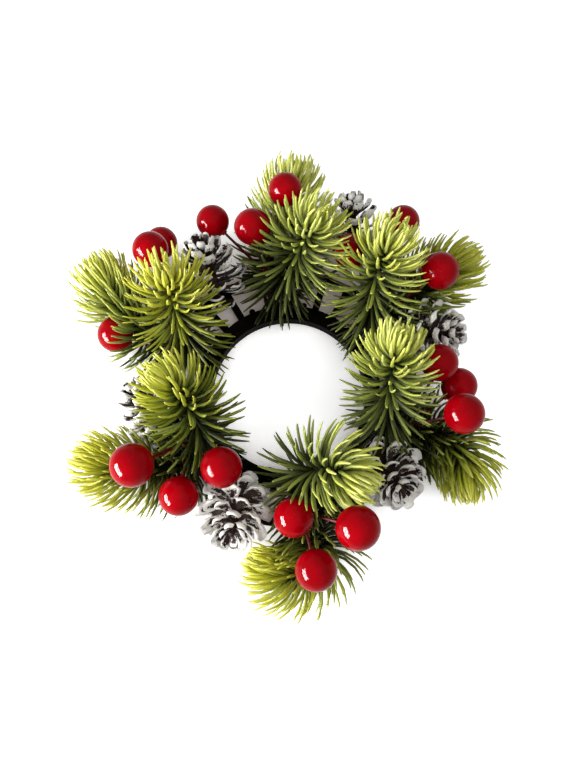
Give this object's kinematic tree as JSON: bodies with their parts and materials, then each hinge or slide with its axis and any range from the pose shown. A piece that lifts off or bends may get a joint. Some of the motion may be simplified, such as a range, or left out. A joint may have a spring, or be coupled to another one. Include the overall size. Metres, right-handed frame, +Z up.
{
  "type": "candle ring",
  "caption": "Garland ring that lies round a pillar candle: pine sprays, frosted cones and red berries wired into the cups of a black plastic ring.",
  "frame": {"origin": "centre of the candle bore, in the plane that the ring rests on", "axes": "+Z up along the bore, the way the candle lifts out; +Y towards the top of the picture and +X to its right"},
  "size_m": [0.2162, 0.2392, 0.0762],
  "materials": {
    "black_plastic": "glossy moulded black",
    "glue": "milky hot-melt glue",
    "pine_green": "semi-gloss moulded needles, dark at the root and yellow-green at the tip",
    "berry_red": "high-gloss red lacquer",
    "stem_red": "dark red paper-wrapped wire",
    "stem_tape": "waxed brown-green florist's tape over wire",
    "cone_wood": "dark woody scales with white frost on the lips"
  },
  "bodies": {
    "root": {"base_ring": "black_plastic", "glue_plugs": "glue", "branch_1": "stem_tape", "spray_outer_1": "pine_green", "spray_upper_1": "pine_green", "berry_stems_1": "stem_red", "berry_1_a": "berry_red", "berry_1_b": "berry_red", "berry_1_c": "berry_red", "cone_wire_1": "stem_tape", "cone_1": "cone_wood", "branch_2": "stem_tape", "spray_outer_2": "pine_green", "spray_upper_2": "pine_green", "berry_stems_2": "stem_red", "berry_2_a": "berry_red", "berry_2_b": "berry_red", "berry_2_c": "berry_red", "cone_wire_2": "stem_tape", "cone_2": "cone_wood", "branch_3": "stem_tape", "spray_outer_3": "pine_green", "spray_upper_3": "pine_green", "berry_stems_3": "stem_red", "berry_3_a": "berry_red", "berry_3_b": "berry_red", "berry_3_c": "berry_red", "cone_wire_3": "stem_tape", "cone_3": "cone_wood", "branch_4": "stem_tape", "spray_outer_4": "pine_green", "spray_upper_4": "pine_green", "berry_stems_4": "stem_red", "berry_4_a": "berry_red", "berry_4_b": "berry_red", "berry_4_c": "berry_red", "cone_wire_4": "stem_tape", "cone_4": "cone_wood", "branch_5": "stem_tape", "spray_outer_5": "pine_green", "spray_upper_5": "pine_green", "berry_stems_5": "stem_red", "berry_5_a": "berry_red", "berry_5_b": "berry_red", "berry_5_c": "berry_red", "cone_wire_5": "stem_tape", "cone_5": "cone_wood", "branch_6": "stem_tape", "spray_outer_6": "pine_green", "spray_upper_6": "pine_green", "berry_stems_6": "stem_red", "berry_6_a": "berry_red", "berry_6_b": "berry_red", "berry_6_c": "berry_red", "cone_wire_6": "stem_tape", "cone_6": "cone_wood"}
  },
  "joints": []
}
